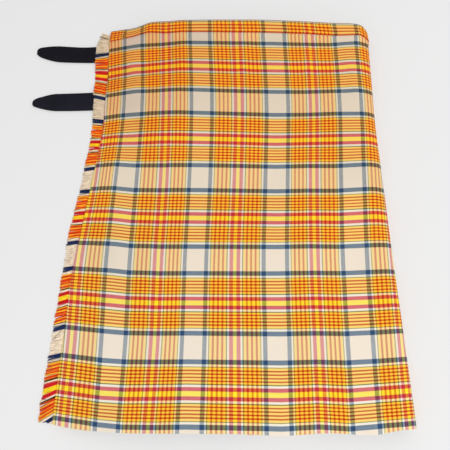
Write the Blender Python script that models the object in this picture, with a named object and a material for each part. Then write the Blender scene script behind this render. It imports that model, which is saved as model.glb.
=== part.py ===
"""A Scottish kilt laid flat on a table with its front up.

X runs to the wearer's left, Y to the waist and Z up; the table is z = 0.  From the table up lie the
pleated back, the under apron and the over apron, which rolls round the right side of the heap and is
sewn to the back there.  A waistband runs along the top edge.  A fringed strip and two leather straps
come out from under the over apron's turned left edge.
"""
import math
from collections import namedtuple

import bmesh
import bpy
import numpy as np

MM = 0.001

# Cloth: a wool twill, and the air between two layers that lie on each other
WALL = 1.3 * MM
GAP = 0.5 * MM
PITCH = WALL + GAP
FLOOR = WALL / 2            # middle of a layer that lies on the table
SEAM = 0.3 * MM             # parting of two pieces at a seam

# Pleated back
PLEATS = 20
PAIRS_AT_HEM = 4.9          # how many pleats lie on each other, at the hem
PAIRS_AT_WAIST = 4.4
LEFT_FOLD_INSET = 18 * MM   # from the over apron's edge to the fold between back and under apron
LEFT_SEAM = 2 * MM          # from that fold to the seam under it
LEFT_LEAD = 14 * MM         # from that fold to the first pleat
RIGHT_LEAD = 20 * MM        # from the right side to the last pleat
STEP = 2.6 * PITCH          # length over which a pleat's face drops from its neighbour's fold
TIP_CLEARANCE = 1.0 * MM    # from the pleats' inner folds to the rounded right side

# Over apron
EDGE_HEIGHT = 4.5 * MM      # middle of the top layer at the turned left edge
APRON_CLEARANCE = 0.3 * MM
FACING = 10 * MM            # width of the cloth turned under at the left edge
RAMP_POWER = 1.25           # how round the slope up from the left edge is
ROLL_HEIGHT = 10 * MM       # height at which the right side is widest
ROLL_TOP = 26 * MM          # width of the rounding above that height, and below it
ROLL_UNDER = 9 * MM
RIGHT_SEAM = 14 * MM        # from the right side to the seam under it
UNDER_APRON_END = 34 * MM   # from the right side to the under apron's free edge
HEM_INSET = 4 * MM          # hidden layers stop this far inside the over apron's hem and waist

# Waistband
BAND_HEIGHT = 21 * MM
BAND_MARGIN = 1 * MM        # the layers have their full rise this far below the band
BAND_RAMP = 8 * MM          # and settle back to the table over this length
BAND_END = 4 * MM           # from the left fold to the end of the back's band

# Fringe
STRANDS = 140
STRAND_SHARE = 0.62         # strand width over the distance between strands
BACKING_INSIDE = 6 * MM
BACKING_OUTSIDE = 2 * MM
BACKING_TOP = 1.4 * MM
ABOVE_TABLE = 0.3 * MM
STRAND_TIP = 0.6 * MM       # thickness of a strand at its free end
STRAND_END = 0.52           # a strand's width at its free end over that at its root
TIP_SWEEP = 5 * MM          # how far the free ends hang towards the hem, at the hem
SWEEP_FROM, SWEEP_OVER = 0.16, 0.35             # the sweep starts at this height and grows over this length
REACH_WAVE, REACH_TURN = 1.2 * MM, 2.4          # unevenness of the strands' length: size, and turn per strand
SWEEP_WAVE, SWEEP_TURN = 1.0 * MM, 1.7          # unevenness of their direction
FRINGE_FROM_HEM, FRINGE_FROM_WAIST = 3 * MM, 1.5 * MM

# Straps
STRAP_THICK = 2.4 * MM
STRAP_HIDDEN = 30 * MM      # length sewn below the over apron
STRAP_FROM = 2 * MM         # its closer sections start this far inside the over apron's edge
STRAP_LIFT = 2.8 * MM       # how far a strap raises the cloth that lies on it
LIFT_FLAT = 20 * MM         # half width of that rise, its flanks and its reach along X
LIFT_FLANK = 14 * MM
LIFT_REACH = 44 * MM
HOLE_RADIUS = 1.7 * MM
HOLE_SIDES = 12

# The outline: a row for each height on the garment, from hem to waist
Outline = namedtuple("Outline", "y apron_edge fringe_tip right_side")
OUTLINE = (
    Outline(-0.2676, -0.2278, -0.2466, 0.2500),
    Outline(-0.2100, -0.2247, -0.2428, 0.2463),
    Outline(-0.1347, -0.2194, -0.2359, 0.2420),
    Outline(-0.0600, -0.2150, -0.2295, 0.2391),
    Outline(+0.0261, -0.2033, -0.2186, 0.2361),
    Outline(+0.0890, -0.1948, -0.2100, 0.2303),
    Outline(+0.1668, -0.1862, -0.2017, 0.2272),
    Outline(+0.2114, -0.1834, -0.2017, 0.2257),
    Outline(+0.2614, -0.1832, -0.2024, 0.2243),
    Outline(+0.2975, -0.1822, -0.2022, 0.2237),
    Outline(+0.3208, -0.1807, -0.1957, 0.2208),
)

# The hem and the top edge: a row for each place across the garment
Edge = namedtuple("Edge", "x y")
HEM = (
    Edge(-0.2278, -0.2669), Edge(-0.1936, -0.2724), Edge(-0.1373, -0.2776), Edge(-0.0616, -0.2768),
    Edge(+0.0170, -0.2768), Edge(+0.0740, -0.2798), Edge(+0.1345, -0.2760), Edge(+0.1920, -0.2786),
    Edge(+0.2270, -0.2745), Edge(+0.2500, -0.2733),
)
WAIST = (
    Edge(-0.1807, +0.3208), Edge(-0.1568, +0.3215), Edge(-0.1138, +0.3300), Edge(-0.0545, +0.3290),
    Edge(+0.0078, +0.3285), Edge(+0.1165, +0.3258), Edge(+0.1713, +0.3240), Edge(+0.2087, +0.3262),
    Edge(+0.2208, +0.3235),
)

# Rows of the cloth, as heights on the garment's middle; the straps lie below the closer ones
BACK_ROWS = (-0.273, -0.160, -0.050, 0.060, 0.165, 0.250, 0.2975, 0.3065, 0.3245)
UNDER_ROWS = BACK_ROWS[:-1] + (0.3185,)
APRON_ROWS = (-0.2768, -0.225, -0.165, -0.105, -0.045, 0.015, 0.070, 0.120, 0.160, 0.178, 0.191, 0.215,
              0.230, 0.244, 0.258, 0.272, 0.285, 0.2975, 0.3065, 0.3261)

# Straps: each row of an outline is a place along the strap from its tip, and its two edges there
Station = namedtuple("Station", "along above below")
Strap = namedtuple("Strap", "name tip_x y outline holes")
STRAPS = (
    Strap("strap_upper", -0.2962, 0.2837,
          (Station(0.0, 0.0070, 0.0010), Station(0.0012, 0.0097, -0.0002), Station(0.0040, 0.0116, -0.0026),
           Station(0.0125, 0.0132, -0.0065), Station(0.0300, 0.0138, -0.0118), Station(0.0500, 0.0133, -0.0142),
           Station(0.0800, 0.0134, -0.0144), Station(0.0950, 0.0138, -0.0140)),
          (0.0345, 0.0495, 0.0645, 0.0795)),
    Strap("strap_lower", -0.2960, 0.2014,
          (Station(0.0, 0.0005, -0.0042), Station(0.0012, 0.0030, -0.0060), Station(0.0045, 0.0055, -0.0075),
           Station(0.0150, 0.0091, -0.0108), Station(0.0300, 0.0125, -0.0140), Station(0.0500, 0.0138, -0.0150),
           Station(0.0800, 0.0150, -0.0146), Station(0.0950, 0.0150, -0.0140)),
          (0.0350, 0.0490, 0.0630, 0.0770)),
)

# Colour, roughness and metallic value of each piece
Finish = namedtuple("Finish", "red green blue roughness metallic")
TARTAN_ORANGE = Finish(0.80, 0.36, 0.10, 0.9, 0.0)
TARTAN_CREAM = Finish(0.82, 0.74, 0.62, 0.9, 0.0)
BLACK_LEATHER = Finish(0.012, 0.013, 0.022, 0.55, 0.0)


def through(xs, ys, at):
    """A smooth curve through a table's points, read at one place or at many."""
    xs = np.asarray(xs, float)
    ys = np.asarray(ys, float)
    at = np.clip(at, xs[0], xs[-1])
    slope = np.gradient(ys, xs)
    i = np.clip(np.searchsorted(xs, at, side="right") - 1, 0, len(xs) - 2)
    span = xs[i + 1] - xs[i]
    t = (at - xs[i]) / span
    return (ys[i] * (2 * t ** 3 - 3 * t ** 2 + 1) + ys[i + 1] * (3 * t ** 2 - 2 * t ** 3)
            + span * (slope[i] * (t ** 3 - 2 * t ** 2 + t) + slope[i + 1] * (t ** 3 - t ** 2)))


def outline(column, y):
    return float(through([row.y for row in OUTLINE], [getattr(row, column) for row in OUTLINE], y))


def hem_y(x):
    return float(through([e.x for e in HEM], [e.y for e in HEM], x))


def waist_y(x):
    return float(through([e.x for e in WAIST], [e.y for e in WAIST], x))


def row_y(x, row):
    """Y of the point at x on a row that is at height `row` on the garment's middle."""
    share = (row - hem_y(0)) / (waist_y(0) - hem_y(0))
    return hem_y(x) + (waist_y(x) - hem_y(x)) * share


def ease(t):
    t = min(max(t, 0.0), 1.0)
    return t * t * (3 - 2 * t)


def band_lift(row):
    """Every layer over the back's waistband lies higher by that band."""
    full = waist_y(0) - BAND_HEIGHT - BAND_MARGIN
    return PITCH * ease((row - full + BAND_RAMP) / BAND_RAMP)


def left_y(row):
    """Y at which a row meets the over apron's left edge."""
    return row_y(outline("apron_edge", row), row)


def right_side(row):
    """X at which a row meets the right side."""
    return outline("right_side", row_y(outline("right_side", row), row))


def strap_rise(y):
    """How far the straps raise the left edge of the over apron and the fringe."""
    from_strap = min(abs(y - strap.y) for strap in STRAPS)
    return STRAP_LIFT * (1 - ease((from_strap - LIFT_FLAT) / LIFT_FLANK))


def fringe_lift(y):
    """The same rise for the fringe, straight from row to row as the over apron's is."""
    heights = [left_y(row) for row in APRON_ROWS]
    return float(np.interp(y, heights, [strap_rise(height) for height in heights]))


def pairs(row):
    share = (row - hem_y(0)) / (waist_y(0) - hem_y(0))
    return PAIRS_AT_HEM + (PAIRS_AT_WAIST - PAIRS_AT_HEM) * share


class Row:
    """The places across the garment that the layers share at one height."""

    def __init__(self, row):
        self.left_edge = outline("apron_edge", left_y(row))
        self.left_fold = self.left_edge + LEFT_FOLD_INSET
        self.right = float(np.interp(row, BACK_ROWS, [right_side(height) for height in BACK_ROWS]))
        self.first_pleat = self.right - RIGHT_LEAD
        self.last_pleat = self.left_fold + LEFT_LEAD
        self.pleat_width = (self.first_pleat - self.last_pleat) / (PLEATS - 1)
        self.depth = pairs(row) * self.pleat_width
        self.under_top = FLOOR + PITCH * (3 + 2 * pairs(row))
        self.over_top = self.under_top + PITCH + APRON_CLEARANCE
        self.lift = band_lift(row)

    def roll_x(self, z):
        """X of the over apron's layer on the rounded right side at height z."""
        if z > ROLL_HEIGHT:
            t, width = (z - ROLL_HEIGHT) / (self.over_top - ROLL_HEIGHT), ROLL_TOP
        else:
            t, width = (ROLL_HEIGHT - z) / (ROLL_HEIGHT - FLOOR), ROLL_UNDER
        return self.right - WALL / 2 - width * (1 - math.sqrt(max(1 - t * t, 0)))

    def inside_roll(self, z):
        """How far a pleat whose middle is at height z may reach into the rounded side."""
        low = max(z - 1.5 * PITCH, FLOOR)
        high = min(z + 1.5 * PITCH, self.over_top)
        return min(self.roll_x(low), self.roll_x(high), self.roll_x(z) - 1.5 * PITCH) - TIP_CLEARANCE

    def over_z(self, x):
        """Height of the over apron's top layer between its left edge and the rounded side."""
        t = (x - self.left_edge) / (self.last_pleat + self.depth - self.left_edge)
        t = min(max(t, 0.0), 1.0)
        return EDGE_HEIGHT + (self.over_top - EDGE_HEIGHT) * (1 - (1 - t) ** RAMP_POWER)


def raised(path, lift):
    return [(x, z + lift) for x, z in path]


def back_path(row):
    """Middle line of the pleated back, from its seam under the right side to the left fold."""
    r = Row(row)
    path = [(r.right - RIGHT_SEAM - SEAM, FLOOR)]
    for k in range(PLEATS):
        fold = r.first_pleat - k * r.pleat_width

        def rise(x):
            return 2 * PITCH * min((x - fold) / r.pleat_width, k)

        if k:
            path += [(fold + r.pleat_width, FLOOR + 2 * PITCH), (fold + r.pleat_width - STEP, FLOOR)]
        bend = PITCH / 2
        path += [(fold + bend, FLOOR), (fold, FLOOR + bend), (fold + bend, FLOOR + PITCH + rise(fold + bend))]
        tip = min(fold + r.depth, r.inside_roll(FLOOR + 1.5 * PITCH + rise(r.right)))
        crosses = 0 < k < PAIRS_AT_WAIST
        if crosses:
            path.append((r.first_pleat, FLOOR + PITCH + rise(r.first_pleat)))
        top = FLOOR + PITCH + rise(tip)
        path += [(tip, top), (tip + bend, top + bend), (tip, top + PITCH)]
        if crosses:
            path.append((r.first_pleat, FLOOR + 2 * PITCH + rise(r.first_pleat)))
    path += [(r.last_pleat, FLOOR + 2 * PITCH), (r.last_pleat - STEP, FLOOR),
             (r.left_fold + LEFT_SEAM, FLOOR)]
    return raised(path, r.lift)


def under_apron_path(row):
    """From the left fold up and over the pleats to the free edge."""
    r = Row(row)
    bend = PITCH / 2
    path = [(r.left_fold + LEFT_SEAM - SEAM, FLOOR), (r.left_fold + bend, FLOOR), (r.left_fold, FLOOR + bend),
            (r.left_fold + bend, FLOOR + PITCH), (r.last_pleat, FLOOR + 3 * PITCH)]
    shoulder = r.last_pleat + r.depth
    path.append((shoulder, r.under_top))
    path += [(x, r.under_top) for x in np.linspace(shoulder, r.right - UNDER_APRON_END, 4)[1:]]
    return raised(path, r.lift)


def over_apron_path(row):
    """From the edge of the turned facing, round the left edge, over the heap and round the right side."""
    r = Row(row)
    bend = PITCH / 2
    facing = [(x, r.over_z(x) - PITCH) for x in (r.left_edge + FACING, r.left_edge + bend)]
    turn = [(r.left_edge, EDGE_HEIGHT - bend)]
    shoulder = r.last_pleat + r.depth
    ramp = [(x, r.over_z(x)) for x in np.linspace(r.left_edge + bend, shoulder, 12)]
    flat_end = r.right - WALL / 2 - ROLL_TOP
    flat = [(x, r.over_top) for x in np.linspace(shoulder, flat_end, 10)[1:]]
    roll = []
    for angle in (70, 50, 32, 16, 0, -25, -55, -90):
        a = math.radians(angle)
        half = r.over_top - ROLL_HEIGHT if angle > 0 else ROLL_HEIGHT - FLOOR
        z = ROLL_HEIGHT + half * math.sin(a)
        roll.append((r.roll_x(z), z))
    seam = [(r.right - RIGHT_SEAM, FLOOR)]
    path = raised(facing + turn + ramp + flat + roll + seam, r.lift)
    rise = strap_rise(left_y(row))
    return [(x, z + rise * (1 - ease((x - r.left_edge - LIFT_REACH) / LIFT_REACH))) for x, z in path]


def offsets(path):
    """A mitred unit offset for each point of a 2-D path, to the path's left."""
    points = np.array(path)
    steps = np.diff(points, axis=0)
    steps /= np.linalg.norm(steps, axis=1)[:, None]
    normals = np.stack([-steps[:, 1], steps[:, 0]], axis=1)
    before = np.vstack([normals[:1], normals])
    after = np.vstack([normals, normals[-1:]])
    both = before + after
    return both * (2 / np.sum(both * both, axis=1))[:, None]


def new_object(name, mesh, finish):
    material = bpy.data.materials.new(name)
    material.use_nodes = True
    shader = material.node_tree.nodes["Principled BSDF"]
    shader.inputs["Base Color"].default_value = (finish.red, finish.green, finish.blue, 1)
    shader.inputs["Roughness"].default_value = finish.roughness
    shader.inputs["Metallic"].default_value = finish.metallic
    data = bpy.data.meshes.new(name)
    bmesh.ops.recalc_face_normals(mesh, faces=mesh.faces)
    mesh.to_mesh(data)
    mesh.free()
    data.materials.append(material)
    data.shade_smooth()
    data.set_sharp_from_angle(angle=math.radians(40))
    piece = bpy.data.objects.new(name, data)
    bpy.context.scene.collection.objects.link(piece)
    return piece


def loft(mesh, rings):
    """Join rings of points into a tube and close its two ends."""
    rows = [[mesh.verts.new(point) for point in ring] for ring in rings]
    count = len(rows[0])
    for lower, upper in zip(rows, rows[1:]):
        for i in range(count):
            j = (i + 1) % count
            mesh.faces.new((lower[i], lower[j], upper[j], upper[i]))
    for row in (rows[0], rows[-1]):
        for i in range(count // 2 - 1):
            mesh.faces.new((row[i], row[i + 1], row[count - 2 - i], row[count - 1 - i]))


def wall(name, paths, place, finish):
    """A wall of even thickness: each path is its middle line in one section, placed in space."""
    rings = []
    for number, path in enumerate(paths):
        sides = offsets(path) * (WALL / 2)
        points = np.array(path)
        outer = [place(number, a, b) for a, b in points + sides]
        inner = [place(number, a, b) for a, b in points - sides]
        rings.append(outer + inner[::-1])
    mesh = bmesh.new()
    loft(mesh, rings)
    return new_object(name, mesh, finish)


def cloth(name, path_of, rows, finish):
    """A layer of cloth, lofted from hem to waist."""
    def place(number, x, z):
        return x, row_y(x, rows[number]), z
    return wall(name, [path_of(row) for row in rows], place, finish)


def apron_line(row, off):
    """The over apron's middle line at a row, moved out by a distance; straight between its rows."""
    rows = APRON_ROWS
    i = min(max(int(np.searchsorted(rows, row)), 1), len(rows) - 1)
    share = min((row - rows[i - 1]) / (rows[i] - rows[i - 1]), 1)
    lower, upper = over_apron_path(rows[i - 1]), over_apron_path(rows[i])
    line = np.array(lower) * (1 - share) + np.array(upper) * share
    return line + offsets(line) * off


def waistband_front():
    """A strip on the over apron's top, turned down over its top edge."""
    section = ((-BAND_HEIGHT, PITCH), (-0.5 * BAND_HEIGHT, PITCH), (-PITCH, PITCH), (-0.3 * PITCH, 0.7 * PITCH),
               (0, 0), (0, -0.65 * PITCH))
    start = 3                       # the first point of the top layer, past the facing and the turn
    end = len(over_apron_path(0)) - 4           # the widest point of the right side

    def place(number, down, off):
        x, z = apron_line(waist_y(0) + down, off)[start + number]
        return x, waist_y(x) - WALL / 2 + down, z
    return wall("waistband_front", [section] * (end - start), place, TARTAN_ORANGE)


def waistband_back():
    """A strip round the lower right side and along the top of the back, on the table."""
    heights = (waist_y(0) - BAND_HEIGHT, waist_y(0) - BAND_HEIGHT / 2, waist_y(0) - HEM_INSET)
    paths = []
    for height in heights:
        line = apron_line(height, PITCH)
        roll = len(line) - 5        # the widest point of the right side
        path = [(x, max(z, FLOOR)) for x, z in line[roll:-1]]
        path[0] = (path[0][0], path[0][1] - SEAM)
        r = Row(height)
        below = np.linspace(path[-1][0], r.left_fold + BAND_END, 14)[1:]
        paths.append(path + [(x, FLOOR) for x in below])

    def place(number, x, z):
        return x, row_y(x, heights[number]), z
    return wall("waistband_back", paths, place, TARTAN_ORANGE)


def fringe_strip():
    """A backing strip below the over apron's edge, with strands out of its outer side."""
    low = hem_y(OUTLINE[0].apron_edge) + FRINGE_FROM_HEM
    high = waist_y(OUTLINE[-1].apron_edge) - FRINGE_FROM_WAIST
    pitch = (high - low) / STRANDS
    width = pitch * STRAND_SHARE
    levels = []
    for i in range(STRANDS):
        levels += [low + i * pitch, low + i * pitch + width]

    def backing(y):
        edge = outline("apron_edge", y)
        z = fringe_lift(y) + ABOVE_TABLE
        outer, inner = edge - BACKING_OUTSIDE, edge + BACKING_INSIDE
        return [(outer, y, z), (outer, y, z + BACKING_TOP), (inner, y, z + BACKING_TOP), (inner, y, z)]

    mesh = bmesh.new()
    rows = [[mesh.verts.new(point) for point in backing(y)] for y in levels]
    for number, (lower, upper) in enumerate(zip(rows, rows[1:])):
        for i in range(4):
            if i == 0 and number % 2 == 0:
                continue            # a strand grows here
            j = (i + 1) % 4
            mesh.faces.new((lower[i], lower[j], upper[j], upper[i]))
    for row in (rows[0], rows[-1]):
        mesh.faces.new(row)
    for number in range(STRANDS):
        lower, upper = rows[2 * number], rows[2 * number + 1]
        root = (lower[0], lower[1], upper[1], upper[0])
        y = (lower[0].co.y + upper[0].co.y) / 2
        reach = outline("fringe_tip", y) + REACH_WAVE * math.sin(REACH_TURN * number)
        sweep = TIP_SWEEP * ease((SWEEP_FROM - y) / SWEEP_OVER) - SWEEP_WAVE * math.sin(SWEEP_TURN * number)
        z = fringe_lift(y) + ABOVE_TABLE
        ends = []
        for side, height in ((-1, 0), (-1, 1), (1, 1), (1, 0)):
            half = side * width * STRAND_END / 2
            ends.append(mesh.verts.new((reach, y - sweep + half, z + height * STRAND_TIP)))
        for i in range(4):
            j = (i + 1) % 4
            mesh.faces.new((root[i], root[j], ends[j], ends[i]))
        mesh.faces.new(ends)
    return new_object("fringe_strip", mesh, TARTAN_CREAM)


def strap(spec):
    """A strap that lies on the table and climbs on to the under apron below the over apron."""
    edge = outline("apron_edge", spec.y)
    fold = edge + LEFT_FOLD_INSET
    hidden_end = edge + STRAP_HIDDEN
    climb = ((edge + BACKING_INSIDE, 0), (fold - PITCH, 3 * PITCH), (fold + LEFT_LEAD, 5 * PITCH))
    visible = [s.along for s in spec.outline]
    stations = visible + [float(x) - spec.tip_x for x in np.linspace(edge + STRAP_FROM, hidden_end, 9)]
    rings = []
    for along in stations:
        x = spec.tip_x + along
        above = float(through(visible, [s.above for s in spec.outline], along)) + spec.y
        below = float(through(visible, [s.below for s in spec.outline], along)) + spec.y
        z = float(np.interp(x, [c[0] for c in climb], [c[1] for c in climb]))
        rings.append([(x, above, z), (x, above, z + STRAP_THICK), (x, below, z + STRAP_THICK), (x, below, z)])
    mesh = bmesh.new()
    loft(mesh, rings)
    piece = new_object(spec.name, mesh, BLACK_LEATHER)
    middle = spec.y + (spec.outline[-2].above + spec.outline[-2].below) / 2
    for number, along in enumerate(spec.holes):
        cutter_mesh = bmesh.new()
        bmesh.ops.create_cone(cutter_mesh, cap_ends=True, segments=HOLE_SIDES, radius1=HOLE_RADIUS,
                              radius2=HOLE_RADIUS, depth=4 * STRAP_THICK)
        cutter = new_object(f"{spec.name}_hole_{number}", cutter_mesh, BLACK_LEATHER)
        cutter.location = (spec.tip_x + along, middle, STRAP_THICK / 2)
        cutter.hide_render = True
        cutter.display_type = "WIRE"
        cut = piece.modifiers.new(f"hole_{number}", "BOOLEAN")
        cut.object = cutter
        cut.solver = "EXACT"
    return piece


def main():
    for old in list(bpy.data.objects):
        bpy.data.objects.remove(old, do_unlink=True)
    cloth("pleated_back", back_path, BACK_ROWS, TARTAN_ORANGE)
    cloth("under_apron", under_apron_path, UNDER_ROWS, TARTAN_ORANGE)
    cloth("over_apron", over_apron_path, APRON_ROWS, TARTAN_ORANGE)
    waistband_front()
    waistband_back()
    fringe_strip()
    for spec in STRAPS:
        strap(spec)


main()
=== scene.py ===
"""The looks of a Scottish kilt laid flat with its front up: tartan cloth, loose fringe and leather straps.

X runs to the wearer's left, Y to the waist and Z up.  Each cloth piece is a thin shell on the form of
the CAD solid that it replaces, so the sizes below repeat that solid's own.  They are in metres, and the
tables of places that in_mm takes are in millimetres.
"""
import math
from collections import namedtuple

import bpy
import numpy as np
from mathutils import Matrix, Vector


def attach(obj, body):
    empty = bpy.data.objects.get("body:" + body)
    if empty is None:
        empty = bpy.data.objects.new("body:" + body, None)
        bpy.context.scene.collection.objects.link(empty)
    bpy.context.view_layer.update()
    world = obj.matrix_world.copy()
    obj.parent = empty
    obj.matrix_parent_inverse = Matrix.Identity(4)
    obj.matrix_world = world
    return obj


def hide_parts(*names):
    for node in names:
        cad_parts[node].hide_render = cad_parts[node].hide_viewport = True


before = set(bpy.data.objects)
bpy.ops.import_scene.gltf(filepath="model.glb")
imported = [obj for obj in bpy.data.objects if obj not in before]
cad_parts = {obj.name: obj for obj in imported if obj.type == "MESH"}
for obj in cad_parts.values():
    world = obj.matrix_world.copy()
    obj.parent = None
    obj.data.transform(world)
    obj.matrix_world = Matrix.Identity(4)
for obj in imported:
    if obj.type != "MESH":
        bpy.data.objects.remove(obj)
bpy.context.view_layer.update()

MM = 0.001

# Cloth, as in the CAD
WALL = 1.3 * MM
GAP = 0.5 * MM
PITCH = WALL + GAP
FLOOR = WALL / 2
SEAM = 0.3 * MM

# Pleated back
PLEATS = 20
PAIRS_AT_HEM = 4.9
PAIRS_AT_WAIST = 4.4
LEFT_FOLD_INSET = 18 * MM
LEFT_SEAM = 2 * MM
LEFT_LEAD = 14 * MM
RIGHT_LEAD = 20 * MM
STEP = 2.6 * PITCH
TIP_CLEARANCE = 1.0 * MM

# Over apron
EDGE_HEIGHT = 4.5 * MM
APRON_CLEARANCE = 0.3 * MM
FACING = 10 * MM
RAMP_POWER = 1.25
ROLL_HEIGHT = 10 * MM
ROLL_TOP = 26 * MM
ROLL_UNDER = 9 * MM
RIGHT_SEAM = 14 * MM
UNDER_APRON_END = 34 * MM

# Waistband
BAND_HEIGHT = 21 * MM
BAND_MARGIN = 1 * MM
BAND_RAMP = 8 * MM
BAND_END = 4 * MM
HEM_INSET = 4 * MM

# Fringe
BACKING_INSIDE = 6 * MM
ABOVE_TABLE = 0.3 * MM
FRINGE_FROM_HEM, FRINGE_FROM_WAIST = 3 * MM, 1.5 * MM

# Straps
STRAP_THICK = 2.4 * MM
STRAP_HIDDEN = 30 * MM
STRAP_LIFT = 2.8 * MM
LIFT_FLAT = 20 * MM
LIFT_FLANK = 14 * MM
LIFT_REACH = 44 * MM
HOLE_RADIUS = 0.9 * MM  # the leather closes in on the solid's own holes


def in_mm(rows):
    """A table given in millimetres."""
    return np.array(rows, float) * MM


# The outline at several heights: y, the over apron's left edge, the fringe's tips and the right side
APRON_EDGE, FRINGE_TIP, RIGHT_SIDE = 1, 2, 3
OUTLINE = in_mm((
    (-267.6, -227.8, -246.6, 250), (-210, -224.7, -242.8, 246.3), (-134.7, -219.4, -235.9, 242),
    (-60, -215, -229.5, 239.1), (26.1, -203.3, -218.6, 236.1), (89, -194.8, -210, 230.3),
    (166.8, -186.2, -201.7, 227.2), (211.4, -183.4, -201.7, 225.7), (261.4, -183.2, -202.4, 224.3),
    (297.5, -182.2, -202.2, 223.7), (320.8, -180.7, -195.7, 220.8),
))
# Points on the hem and on the waist: x and y
HEM = in_mm((
    (-227.8, -266.9), (-193.6, -272.2), (-137.3, -275.7), (-61.6, -276.2), (17, -276.8), (74, -278.6),
    (134.5, -275.7), (192, -277.5), (227, -272.2), (250, -271.2),
))
WAIST = in_mm((
    (-180.7, 320.8), (-156.8, 321.1), (-142, 321.7), (-130, 324.6), (-118, 328.2), (-106, 328.6),
    (-92, 327.5), (-64, 327.9), (-30, 328.7), (7.8, 328.7), (60, 328.2), (116.5, 325.8), (171.3, 322.6),
    (200, 321.7), (212, 320.5), (220.8, 316),
))
# How far in from the solid's left edge and right side the cloth lies
LEFT_INSETS = in_mm((
    (-267.6, 0), (-50, 0), (20, 0.8), (60, 1.4), (95, 2), (135, 2.6), (170, 2.3), (210, 1.4), (250, 2.2),
    (285, 1.8), (310, 0.4), (320.8, 0),
))
RIGHT_INSETS = in_mm((
    (-267.6, 0), (-130, 0), (-85, 0.9), (-40, 2.3), (0, 1.6), (65, 2.4), (120, 2), (190, 1.5),
    (230, 0.2), (320.8, 0),
))
# How far the fringe reaches out beyond the solid's own tips
TIP_REACHES = in_mm((
    (-267.6, 0.8), (-250, 1.9), (-228, 1.2), (-200, 0.8), (-175, 0.2), (-150, 0.7), (-130, 0.4),
    (-116, -0.3), (-102, 0.3), (-65, 0.4), (-40, 0.1), (-25, 2.2), (-6, 2.9), (8, 2.5), (20, 1),
    (30, 0.4), (42, 0.4), (60, 0), (108, 0), (128, -0.8), (145, 0),
))
# The line along which the fringe is cut off at the hem: its height at x = 0, and its slope
CUT_HEIGHT, CUT_SLOPE = -0.3142, -0.207
BACK_ROWS = in_mm((-273, -160, -50, 60, 165, 250, 297.5, 306.5, 324.5))
UNDER_APRON_TOP = 0.3185
APRON_BOTTOM, APRON_TOP = -0.2768, 0.3261

# Along each strap from its tip: how far its upper and lower edges lie from its y, and its holes
Strap = namedtuple("Strap", "name tip_x y outline holes")
STRAPS = (
    Strap("strap_upper", -296.2 * MM, 283.7 * MM,
          in_mm((
              (0, 7, 1), (1.2, 9.7, -0.2), (4, 11.6, -2.6), (12.5, 13.5, -6.5), (30, 15, -11.6),
              (53, 13.8, -13.3), (70, 12.9, -13.7), (87, 13.4, -13.8), (96, 14.3, -13.2),
              (108, 16.5, -11.2),
          )),
          in_mm((34.5, 49.5, 64.5, 79.5))),
    Strap("strap_lower", -296 * MM, 201.4 * MM,
          in_mm((
              (0, 0.5, -4.2), (1.2, 3, -6), (4.5, 5.5, -7.5), (15, 9.4, -10.8), (30, 13.4, -13.8),
              (50, 14.5, -14.3), (80, 15.7, -13.7), (96, 16.5, -13), (106, 17.1, -11.9),
          )),
          in_mm((35, 49, 63, 77))),
)

# The sett, from the middle of its cream stripe to the middle of its yellow one: yarn and thread count
WARP_SETT = (
    ("cream", 26), ("blue", 11), ("white", 5), ("green", 2), ("gold", 7), ("red", 5), ("gold", 7),
    ("red", 5), ("gold", 7), ("red", 5), ("gold", 7), ("green", 3), ("white", 5), ("crimson", 10),
    ("yellow", 5),
)
WEFT_SETT = (
    ("cream", 31), ("blue", 13), ("white", 6), ("green", 2), ("gold", 6), ("red", 4), ("gold", 5),
    ("red", 4), ("gold", 5), ("red", 4), ("gold", 5), ("red", 4), ("gold", 5), ("green", 3),
    ("white", 6), ("crimson", 10), ("yellow", 7),
)
WARP_PERIOD = 110.5 * MM
WEFT_PERIOD = 119.4 * MM
CREAM_ROW_Y = 0.1881  # middle of the weft's first whole cream stripe, on the apron's middle

# The same weft where it hangs loose as the fringe, where its reds lie on top
FRINGE_SETT = (
    ("pale", 31), ("navy", 13), ("pale", 6), ("brown", 2), ("amber", 5), ("scarlet", 5), ("amber", 5),
    ("scarlet", 6), ("orange", 3), ("scarlet", 5), ("amber", 5), ("scarlet", 5), ("amber", 3), ("brown", 3),
    ("pale", 6), ("ruby", 10), ("amber", 2), ("yellow", 5),
)

# Yarn colours, sRGB 0 to 255
YARNS = {
    "cream": (240, 227, 209), "blue": (44, 74, 110), "white": (242, 236, 218), "green": (70, 76, 12),
    "gold": (255, 203, 56), "red": (180, 36, 2), "crimson": (192, 42, 58), "yellow": (255, 230, 36),
    "pale": (250, 234, 212), "navy": (24, 44, 96), "brown": (82, 52, 20), "amber": (255, 190, 50),
    "orange": (255, 138, 28), "scarlet": (226, 62, 8), "ruby": (216, 26, 34),
}

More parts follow.
